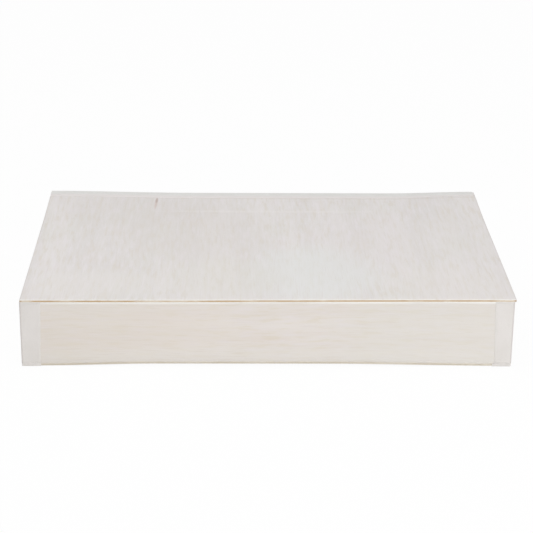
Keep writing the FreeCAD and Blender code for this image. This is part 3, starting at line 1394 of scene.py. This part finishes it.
@dataclass
class CornerCloth(Strip):
    """An upright strip folded round a corner of the frame, outside or inside."""

    right: int = 1
    rear: int = 1
    inner: bool = False
    bodies: tuple[str, str] = ("", "")
    turn: tuple[Vector, Vector] | None = None
    turn_steps: int = 6
    seat: float = 0.12 * MM
    skew: Pair = (0.0, 0.0)

    def heights(self) -> Pair:
        """The strip's lower and upper cut edge, close to the base and the lid."""
        low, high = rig.box(self.node)
        return low.z - self.seat, high.z + self.seat

    def faces(self) -> tuple[float, float, float, float]:
        """Where the strip's showing faces and free edges are.

        Returns:
            The side face's x, the end face's y, the end leaf's free x and the side leaf's free y.
        """
        low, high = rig.box(self.node)
        side, free_side = (high.x, low.x) if self.right > 0 else (low.x, high.x)
        end, free_end = (high.y, low.y) if self.rear > 0 else (low.y, high.y)
        if self.inner:
            side -= self.right * self.thickness
            end -= self.rear * self.thickness
        return side, end, free_side, free_end

    def build(self) -> list[Workpiece]:
        """Build the strip and let it bend between its two walls.

        Returns:
            Its one piece.
        """
        piece = self.fold(self.name, self.faces()[3], lambda edge: leans_along(edge, Axis.HEIGHT))
        start, stop = self.turn
        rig.blend(piece.obj, *self.bodies, start=start, end=stop)
        low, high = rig.box(self.node)
        foot, head = self.heights()
        across = (high.x - low.x) + (high.y - low.y)
        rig.sheet(piece.obj, flat=(across, head - foot), held="folded", rests_on=self.walls())
        return [piece]

    def fold(self, name: str, reach: float, pressed: Test) -> Workpiece:
        """Fold a sheet round the corner, and divide it closely where it bends.

        Args:
            name: The piece's name.
            reach: Where its side leaf ends, along the depth.
            pressed: Says which of its cut edges are pressed down.

        Returns:
            The finished cloth.
        """
        foot, head = self.heights()
        side, end, free_x, _ = self.faces()
        first = Vector((min(side, free_x), end, foot))
        last = Vector((max(side, free_x), end, head))
        piece = Workpiece.sheet(name, first, last)
        self.slant(piece, foot, free_x)
        piece.draw_out(edge_at(Axis.HEIGHT, x=side), Vector((0, reach - end, 0)))
        piece.ease(edge_at(Axis.HEIGHT, x=side, y=end), self.bend_radius, self.bend_steps)
        piece.divide(Axis.WIDTH, self.spacing)
        if self.turn:
            start, stop = self.turn
            piece.cut_at(Axis.DEPTH, steps_between(start.y, stop.y, self.turn_steps))
        piece.divide(Axis.DEPTH, self.spacing)
        piece.divide(Axis.HEIGHT, self.spacing)
        outside = Vector((self.right, self.rear, 0)) * (-1 if self.inner else 1)
        return self.close_up(piece, outside, self.develop, pressed)

    def slant(self, piece: Workpiece, foot: float, free_x: float) -> None:
        """Cut the end leaf's free edge a little out of square, by hand.

        Args:
            piece: The flat end leaf.
            foot: The height of its foot.
            free_x: Where its free edge is.
        """
        for below, shift in zip((True, False), self.skew):

            def at_cut(corner: Corner, below: bool = below) -> bool:
                """Whether a corner is at this end of the free edge."""
                return close(corner.co.x, free_x) and close(corner.co.z, foot) == below

            piece.push(at_cut, Vector((-self.right * shift, 0, 0)))

    def develop(self, place: Vector, normal: Vector) -> Pair:
        """Unroll the corner: along both leaves, and up."""
        side, end, _, _ = self.faces()
        return self.right * (place.x - side) - self.rear * (place.y - end), place.z

    def walls(self) -> list[str]:
        """The boards' faces that the strip is glued to."""
        face = "inner_veneer" if self.inner else "outer_veneer"
        return [f"{body}_{face}_layer" for body in self.bodies]


@dataclass
class OpenCornerCloth(CornerCloth):
    """The corner strip over the seam where the frame parts: one leaf on each wall."""

    seam: float = 0.0
    seam_play: float = 0.38 * MM

    def build(self) -> list[Workpiece]:
        """Build the leaf round the rear wall's end and the leaf on the side wall.

        Returns:
            Its two pieces.
        """
        foot, head = self.heights()
        side, end, free_x, free_y = self.faces()

        def on_rear(edge: Edge) -> bool:
            """Whether an edge is the free cut on the rear wall."""
            return leans_along(edge, Axis.HEIGHT) and close(middle(edge).x, free_x, MM)

        def on_side(edge: Edge) -> bool:
            """Whether an edge is the free cut on the side wall."""
            return leans_along(edge, Axis.HEIGHT) and close(middle(edge).y, free_y, MM)

        wrap = self.fold(f"{self.name}_rear_leaf", self.seam, on_rear)
        start = self.seam - self.rear * self.seam_play
        near, far = sorted((start, free_y))
        first, last = Vector((side, near, foot)), Vector((side, far, head))
        leaf = Workpiece.sheet(f"{self.name}_side_leaf", first, last)
        leaf.divide(Axis.DEPTH, self.spacing)
        leaf.divide(Axis.HEIGHT, self.spacing)
        self.close_up(leaf, Vector((self.right, 0, 0)), self.develop, on_side)
        wrapped = abs(side - free_x) + abs(end - self.seam)
        rows = ((wrap, wrapped, "folded"), (leaf, abs(free_y - start), "laid"))
        for (piece, across, held), body, wall in zip(rows, self.bodies, self.walls()):
            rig.ride(piece.obj, body)
            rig.sheet(piece.obj, flat=(across, head - foot), held=held, rests_on=[wall])
        return [wrap, leaf]


@dataclass
class HingeCloth(Strip):
    """A strip along a rear edge, on a level board and down or up the rear wall."""

    board: str = ""
    bodies: tuple[str, str] = ("", "")
    top: bool = True
    board_thickness: float = 2.0 * MM
    turn: tuple[Vector, Vector] | None = None
    turn_steps: int = 12
    corner_gap: float = 0.15 * MM
    trim: float = 0.0
    taper: float = 0.0
    taper_from: float = 85.0 * MM

    def build(self) -> list[Workpiece]:
        """Build the strip and let it bend between the board and the rear wall.

        Returns:
            Its one piece.
        """
        low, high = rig.box(self.node)
        low.y += self.trim
        level, foot, way = (high.z, low.z, -1) if self.top else (low.z, high.z, 1)
        lip = level + way * (self.board_thickness + self.thickness)
        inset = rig.box("rear_right_corner_cloth")[0].x - self.corner_gap
        first, last = Vector((low.x, low.y, level)), Vector((high.x, high.y, level))
        piece = Workpiece.sheet(self.name, first, last)
        piece.cut_at(Axis.WIDTH, [-inset, self.taper_from, inset])
        for place in (inset, high.x):
            share = (place - self.taper_from) / (high.x - self.taper_from)

            def on_cut(corner: Corner, place: float = place) -> bool:
                """Whether a corner of the front cut stands at this place."""
                return close(corner.co.x, place) and close(corner.co.y, low.y)

            piece.push(on_cut, Vector((0, self.taper * share, 0)))

        def on_lip(edge: Edge) -> bool:
            """Whether an edge of the lip lies between the two notches."""
            return edge_at(Axis.WIDTH, z=lip)(edge) and abs(middle(edge).x) < inset

        piece.draw_out(edge_at(Axis.WIDTH, y=high.y), Vector((0, 0, lip - level)))
        piece.draw_out(on_lip, Vector((0, 0, foot - lip)))
        piece.ease(edge_at(Axis.WIDTH, y=high.y, z=level), self.bend_radius, self.bend_steps)
        start, stop = self.turn
        rounded = level + way * self.bend_radius
        far = start.z if self.top else stop.z
        piece.cut_at(Axis.HEIGHT, steps_between(far, rounded, self.turn_steps)[:-1])
        piece.divide(Axis.WIDTH, 2 * self.spacing)
        piece.divide(Axis.DEPTH, self.spacing)
        piece.divide(Axis.HEIGHT, self.spacing)

        def develop(place: Vector, normal: Vector) -> Pair:
            """Unroll the strip: along the edge, and over it."""
            return place.x, place.y + way * (place.z - level)

        def pressed(edge: Edge) -> bool:
            """Whether a cut edge lies on the board's face or on the wall's."""
            place = middle(edge)
            on_board = place.y < low.y + self.taper + MM
            return leans_along(edge, Axis.WIDTH) and (on_board or close(place.z, foot, MM))

        self.close_up(piece, Vector((0, 1, -way)), develop, pressed)
        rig.blend(piece.obj, *self.bodies, start=start, end=stop)
        wide, across = high.x - low.x, (high.y - low.y) + (high.z - low.z)
        notches = 2 * (high.x - inset) * abs(foot - lip)
        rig.sheet(
            piece.obj,
            flat=(wide, across),
            held="folded",
            rests_on=[self.board, "rear_wall_outer_veneer_layer"],
            area=wide * across - notches,
        )
        return [piece]


@dataclass
class BasePatch(Strip):
    """A small square of cloth folded up round a front corner of the base."""

    right: int = 1
    body: str = "base"
    corner_radius: float = 1.1 * MM
    foot_share: float = 0.8
    foot_steps: int = 4
    level_slack: float = 0.1 * MM
    seat: float = 0.05 * MM

    def build(self) -> list[Workpiece]:
        """Build the patch: its sheet under the base and its two upstands.

        Returns:
            Its one piece.
        """
        low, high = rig.box(self.node)
        side = high.x if self.right > 0 else low.x
        rise = high.z - low.z + self.seat

        def at_outside(edge: Edge) -> bool:
            """Whether an edge lies at the base's front or side."""
            return close(middle(edge).x, side) or close(middle(edge).y, low.y)

        def at_foot(edge: Edge) -> bool:
            """Whether an edge lies between the sheet and an upstand."""
            return close(middle(edge).z, low.z) and len(edge.link_faces) == 2

        piece = Workpiece.sheet(self.name, low, Vector((high.x, high.y, low.z)))
        piece.draw_out(at_outside, Vector((0, 0, rise)))
        piece.ease(edge_at(Axis.HEIGHT, x=side, y=low.y), self.corner_radius, self.bend_steps)
        piece.ease(at_foot, self.bend_radius * self.foot_share, self.foot_steps)

        def develop(place: Vector, normal: Vector) -> Pair:
            """Unroll the upstands outwards."""
            lift = place.z - low.z
            share = Vector((abs(normal.x), abs(normal.y)))
            total = max(share.x + share.y, 1e-6)
            return place.x + self.right * lift * share.x / total, place.y - lift * share.y / total

        def pressed(edge: Edge) -> bool:
            """Whether a cut edge lies under the base."""
            return close(middle(edge).z, low.z, self.level_slack)

        self.close_up(piece, Vector((self.right, -1, -2)), develop, pressed)
        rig.ride(piece.obj, self.body)
        wide, deep = high.x - low.x + rise, high.y - low.y + rise
        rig.sheet(
            piece.obj,
            flat=(wide, deep),
            held="folded",
            rests_on=["base_under_veneer_layer"],
            area=wide * deep - rise * rise,
        )
        return [piece]


@dataclass(frozen=True)
class Lamp:
    """A soft square lamp, aimed at a point on the object."""

    name: str
    place: Triple
    size: float
    power: float
    aim: Triple

    def hang(self) -> None:
        """Put the lamp in the scene."""
        data = bpy.data.lights.new(self.name, "AREA")
        data.shape = "SQUARE"
        data.size = self.size
        data.energy = self.power
        lamp = bpy.data.objects.new(self.name, data)
        lamp.location = self.place
        way = Vector(self.aim) - Vector(self.place)
        lamp.rotation_mode = "QUATERNION"
        lamp.rotation_quaternion = way.to_track_quat("-Z", "Y")
        lamp.visible_camera = False
        bpy.context.scene.collection.objects.link(lamp)


@dataclass(frozen=True)
class Studio:
    """The camera, the floor, the surround and the lamps."""

    camera_place: Triple = (-0.02549, -1.18036, 0.49410)
    camera_way: Triple = (0.02119, 0.93054, -0.36557)
    camera_right: Triple = (0.99977, -0.01894, 0.00975)
    lens: float = 114.39
    sensor: float = 36.0
    clip: Pair = (0.05, 50.0)
    floor_size: float = 12.0
    floor_drop: float = 0.2 * MM
    floor_colour: Colour = (0.93, 0.93, 0.93, 1.0)
    floor_white: float = 0.955
    surround: float = 0.68
    lamps: tuple[Lamp, ...] = (
        Lamp("key_lamp", (0.6, -1.05, 0.4), size=0.8, power=3.15, aim=(0.0, -0.05, 0.03)),
        Lamp("top_lamp", (-0.14, -0.13, 0.8), size=0.5, power=1.5, aim=(-0.02, -0.04, 0.05)),
        Lamp("side_lamp", (0.6, -0.9, 0.2), size=0.5, power=0.8, aim=(0.05, -0.1, 0.03)),
    )

    def set_up(self) -> None:
        """Build the whole studio."""
        scene = bpy.context.scene
        scene.view_settings.view_transform = "Standard"
        self._camera(scene)
        self._world(scene)
        self._floor()
        for lamp in self.lamps:
            lamp.hang()

    def _camera(self, scene: bpy.types.Scene) -> None:
        """Put the camera where the photograph was taken from."""
        data = bpy.data.cameras.new("camera")
        data.lens = self.lens
        data.sensor_width = self.sensor
        data.clip_start, data.clip_end = self.clip
        back = -Vector(self.camera_way).normalized()
        up = back.cross(Vector(self.camera_right).normalized()).normalized()
        right = up.cross(back)
        turn = Matrix((right, up, back)).transposed()
        camera = bpy.data.objects.new("camera", data)
        camera.matrix_world = Matrix.Translation(self.camera_place) @ turn.to_4x4()
        scene.collection.objects.link(camera)
        scene.camera = camera

    @staticmethod
    def _seen(paint: Paint) -> Value:
        """One for rays that show the background, and otherwise zero."""
        path = paint.node("ShaderNodeLightPath", output="Is Camera Ray")
        outputs = path.socket.node.outputs
        glossy = Value(paint, outputs["Is Glossy Ray"])
        clear = Value(paint, outputs["Is Transmission Ray"])
        return path.most(glossy).most(clear)

    def _world(self, scene: bpy.types.Scene) -> None:
        """A plain white surround."""
        scene.world = bpy.data.worlds.new("surround")
        paint = Paint(scene.world)
        seen = self._seen(paint)
        strength = seen + (1 - seen) * self.surround
        light = paint.node("ShaderNodeBackground", inputs={"Color": WHITE, "Strength": strength})
        paint.node("ShaderNodeOutputWorld", inputs={0: light})

    def _floor(self) -> None:
        """A plain pale floor that stays white to the camera and keeps a soft shadow."""
        clear_selection()
        bpy.ops.mesh.primitive_plane_add(size=self.floor_size, location=(0, 0, -self.floor_drop))
        floor = bpy.context.active_object
        floor.name = "floor"
        paint = Paint.material("pale_floor")
        matt = paint.node("ShaderNodeBsdfDiffuse", inputs={"Color": self.floor_colour})
        white = paint.node("ShaderNodeEmission", inputs={"Color": WHITE, "Strength": 1.0})
        share = self._seen(paint) * self.floor_white
        both = paint.node("ShaderNodeMixShader", inputs={0: share, 1: matt, 2: white})
        paint.node("ShaderNodeOutputMaterial", inputs={0: both})
        floor.data.materials.append(paint.owner)
        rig.stage(floor)


TALL = (12 * MM, 44 * MM)
TO_REAR = (40 * MM, 108 * MM)
REAR_CORNERS = (
    Bow(1.4 * MM, ((-55 * MM, -169 * MM),), TO_REAR, TALL),
    Bow(1.6 * MM, ((100 * MM, 169 * MM),), TO_REAR, TALL),
)
FRONT_CORNER = (Bow(0.88 * MM, ((-169 * MM, 169 * MM),), (112 * MM, -112 * MM), TALL),)
BASE_FRONT = (
    Bow(
        1.5 * MM,
        ((-158 * MM, -75 * MM), (165 * MM, 40 * MM)),
        (-20 * MM, -105 * MM),
        (30 * MM, 5 * MM),
    ),
)


def boards() -> list[Board]:
    """The six boards.

    Returns:
        The lid, the base and the four walls.
    """
    rounded = {"corner_radius": 0.8 * MM, "rim_radius": 0.2 * MM}
    warm = {
        "pale": tone(225, 219, 214),
        "plain": tone(219, 212, 205),
        "warm": tone(215, 203, 189),
        "cool": tone(214, 206, 203),
        "green": tone(218, 215, 205),
        "blush": tone(221, 210, 205),
        "dark": tone(201, 188, 172),
        "straw": tone(216, 207, 191),
        "milk": tone(224, 218, 218),
        "wear": 1.8 * MM,
    }
    # Painted shade: the lid's left and right cut edges darker, where they turn away from the light.
    shaded = {"side": tone(208, 203, 200)}
    # Painted shade: the base's cut edges duller and darker than the other boards', shaded near the floor.
    floor_shaded_edges = {"end": tone(230, 224, 213), "side": tone(226, 219, 207)}
    fading = {"tan_at": 40 * MM, "fade": 0.35, "plain": tone(195, 167, 132)}
    # Painted shade: greyer core tones on the base's edge, shaded near the floor, without the paler glue bands.
    floor_shaded_core = {
        "plain": tone(205, 196, 180),
        "pale": tone(216, 209, 196),
        "dark": tone(193, 181, 160),
        "glue_share": 0.0,
    }

    def level_layers(name: str) -> tuple[Layer, ...]:
        """A level board's layers, from its underside up."""
        return (
            Layer(f"{name}_under_veneer", -1),
            Layer(f"{name}_core", 0),
            Layer(f"{name}_top_veneer", 1, marked=True),
        )

    def wall(name: str, lay: Lay, outward: int, seed: float, bows: tuple[Bow, ...], **more: Any) -> Board:
        """A wall.

        Args:
            name: Its name, which is its body's too.
            lay: How it lies.
            outward: The way that its outer face looks.
            seed: Moves its grain.
            bows: Its bends.
            more: What only this wall has.

        Returns:
            The board.
        """
        layers = (
            Layer(f"{name}_outer_veneer", outward, marked=True),
            Layer(f"{name}_core", 0),
            Layer(f"{name}_inner_veneer", -outward),
        )
        fit = {"sag": 0.25 * MM, "seat": 0.15 * MM, "sound_foot": 4.0 * MM}
        return Board(name, lay, layers, seed, bows=bows, tones=warm, **fit, **more)

    brown = tone(150, 122, 108)
    lid_marks = (
        Mark(-66 * MM, 34 * MM, 130 * MM, 110 * MM, tone(226, 227, 225), 0.62, ragged=1.6),
        Mark(25 * MM, -55 * MM, 160 * MM, 130 * MM, tone(215, 209, 204), 0.30, ragged=1.4),
        Mark(10 * MM, 80 * MM, 170 * MM, 90 * MM, tone(225, 218, 218), 0.22, ragged=1.5),
        Mark(-72 * MM, -32 * MM, 90 * MM, 100 * MM, tone(221, 218, 210), 0.35, ragged=1.6),
        Mark(-85 * MM, -118 * MM, 70 * MM, 100 * MM, tone(229, 225, 221), 0.40, ragged=1.6),
        Mark(-80 * MM, 122 * MM, 90 * MM, 90 * MM, tone(228, 223, 219), 0.38, ragged=1.6),
        Mark(72 * MM, -112 * MM, 100 * MM, 110 * MM, tone(212, 206, 203), 0.20, ragged=1.5),
        Mark(5 * MM, 135 * MM, 120 * MM, 80 * MM, tone(226, 222, 219), 0.30, ragged=1.6),
        # Painted highlight: a pale line along the lit far side of the crease.
        Mark(68.5 * MM, 6 * MM, 5.5 * MM, 200 * MM, tone(232, 228, 226), 0.34, ragged=0.5),
        Mark(99.2 * MM, 62 * MM, 2.6 * MM, 400 * MM, tone(200, 182, 172), 0.16, ragged=0.6),
        Mark(87.0 * MM, -85.1 * MM, 34 * MM, 2.6 * MM, tone(182, 138, 118), 0.26, slant=0.02, ragged=0.5),
        Mark(93.0 * MM, -84.8 * MM, 14 * MM, 2.4 * MM, brown, 0.34, slant=0.02),
    )
    front_marks = (
        Mark(-105 * MM, 28 * MM, 190 * MM, 80 * MM, tone(224, 216, 207), 0.40, ragged=1.4),
        Mark(120 * MM, 24 * MM, 180 * MM, 80 * MM, tone(219, 217, 211), 0.40, ragged=1.4),
        # Painted light: a paler band along the foot of the front wall, lifting the shade low down.
        Mark(0.0, 3 * MM, 460 * MM, 26 * MM, tone(226, 223, 218), 0.42, ragged=0.8),
    )
    return [
        Lid(
            "lid", Lay.LEVEL, level_layers("lid"), 3.1, **rounded,
            sag=0.8 * MM, sag_level=0.65, rear_play=0.5 * MM, slide=0.6 * MM,
            bows=REAR_CORNERS + FRONT_CORNER, marks=lid_marks, tones=shaded, core_tones=fading,
        ),
        Board(
            "base", Lay.LEVEL, level_layers("base"), 11.7, **rounded,
            bows=BASE_FRONT, tones=floor_shaded_edges, core_tones=floor_shaded_core,
        ),
        wall("front_wall", Lay.FACING, -1, 23.9, BASE_FRONT + FRONT_CORNER, marks=front_marks),
        wall("rear_wall", Lay.FACING, 1, 31.3, REAR_CORNERS),
        wall("left_wall", Lay.FLANK, -1, 47.2, REAR_CORNERS),
        wall("right_wall", Lay.FLANK, 1, 59.8, REAR_CORNERS + FRONT_CORNER),
    ]


def cloths(joints: list[dict[str, Any]]) -> list[Strip]:
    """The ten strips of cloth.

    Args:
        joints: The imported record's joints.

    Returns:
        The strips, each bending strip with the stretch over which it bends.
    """
    cloth = ClothFinish("corner_cloth", fold_wear=0.7).dress()
    trimmed = 2.0 * MM
    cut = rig.box("lid_hinge_cloth")[0].y + trimmed
    hinge = ClothFinish(
        "hinge_cloth",
        pale=tone(232, 232, 230),
        plain=tone(228, 227, 224),
        stain=(cut + 6.5 * MM, cut + 3.0 * MM),
    ).dress()
    pivot = {joint["name"]: Vector(joint["pos_m"]) for joint in joints}

    def span(joint: str, start: Vector, stop: Vector) -> tuple[Vector, Vector]:
        """The bending stretch, counted from a joint's place."""
        return pivot[joint] + start, pivot[joint] + stop

    def deep(joint: str, start: float, stop: float) -> tuple[Vector, Vector]:
        """A bending stretch along the depth, in millimetres."""
        return span(joint, Vector((0, start * MM, 0)), Vector((0, stop * MM, 0)))

    def tall(joint: str, start: float, stop: float) -> tuple[Vector, Vector]:
        """A bending stretch along the height."""
        return span(joint, Vector((0, 0, start)), Vector((0, 0, stop)))

    def corner(place: str, turn: tuple[Vector, Vector], kind: str = "corner", **more: Any) -> CornerCloth:
        """A strip round one of the corners that stay joined.

        Args:
            place: Which corner.
            turn: The stretch over which it bends.
            kind: The outer corner strip or the inner one.
            more: What only this strip has.

        Returns:
            The strip.
        """
        end, side = place.split("_")
        return CornerCloth(
            f"{place}_{kind}_strip", f"{place}_{kind}_cloth", cloth,
            right=1 if side == "right" else -1, rear=1 if end == "rear" else -1,
            inner=kind == "inner", bodies=(f"{end}_wall", f"{side}_wall"), turn=turn, **more,
        )

    spread = 0.5 * MM
    slant = Vector((spread, spread, 0))
    bowed = REAR_CORNERS[0].rise / 4
    front_right = deep("front_right_fold", -1.9, 1.3)
    return [
        corner("front_left", deep("front_left_fold", -0.7, 0.7), skew=(-0.2 * MM, 1.2 * MM)),
        corner("front_right", front_right, bows=FRONT_CORNER, skew=(-1.5 * MM, 0.1 * MM)),
        corner("rear_left", deep("frame_fold", 1.9, -1.3), bows=REAR_CORNERS),
        OpenCornerCloth(
            "rear_right_corner_strip", "rear_right_corner_cloth", cloth, bows=REAR_CORNERS,
            bodies=("rear_wall", "right_wall"), seam=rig.box("rear_wall_inner_veneer")[0].y,
        ),
        corner("front_right", span("front_right_fold", -slant, slant), "inner", bows=FRONT_CORNER),
        corner("rear_left", span("frame_fold", slant, -slant), "inner", bows=REAR_CORNERS),
        HingeCloth(
            "lid_hinge_strip", "lid_hinge_cloth", hinge, bows=REAR_CORNERS,
            board="lid_top_veneer_layer", bodies=("rear_wall", "lid"),
            turn=tall("lid_hinge", bowed - spread, bowed + spread), trim=trimmed, taper=3.0 * MM,
        ),
        HingeCloth(
            "base_hinge_strip", "base_hinge_cloth", hinge, top=False,
            board="base_under_veneer_layer", bodies=("base", "rear_wall"),
            turn=tall("spine_hinge", -spread, spread),
        ),
        BasePatch("front_left_base_strip", "front_left_base_patch", cloth, right=-1),
        BasePatch("front_right_base_strip", "front_right_base_patch", cloth, right=1),
    ]


def report(pieces: list[Workpiece]) -> None:
    """Log what was built."""
    for piece in pieces:
        LOG.info("%s: %d faces", piece.obj.name, len(piece.obj.data.polygons))


def main() -> None:
    """Build the box round its frame, then the studio."""
    logging.basicConfig(level=logging.INFO, format="%(name)s: %(message)s")
    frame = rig.load()
    cad_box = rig.bounds()
    for board in boards():
        report(board.build())
    for strip in cloths(frame["joints"]):
        report(strip.build())
    Studio().set_up()
    clear_selection()
    visual_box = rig.bounds()
    sizes = {
        "cad": [list(corner) for corner in cad_box],
        "visual": [list(corner) for corner in visual_box],
    }
    with open(SIZE_FILE, "w", encoding="utf-8") as file:
        json.dump(sizes, file, indent=1)


if __name__ == "__main__":
    main()
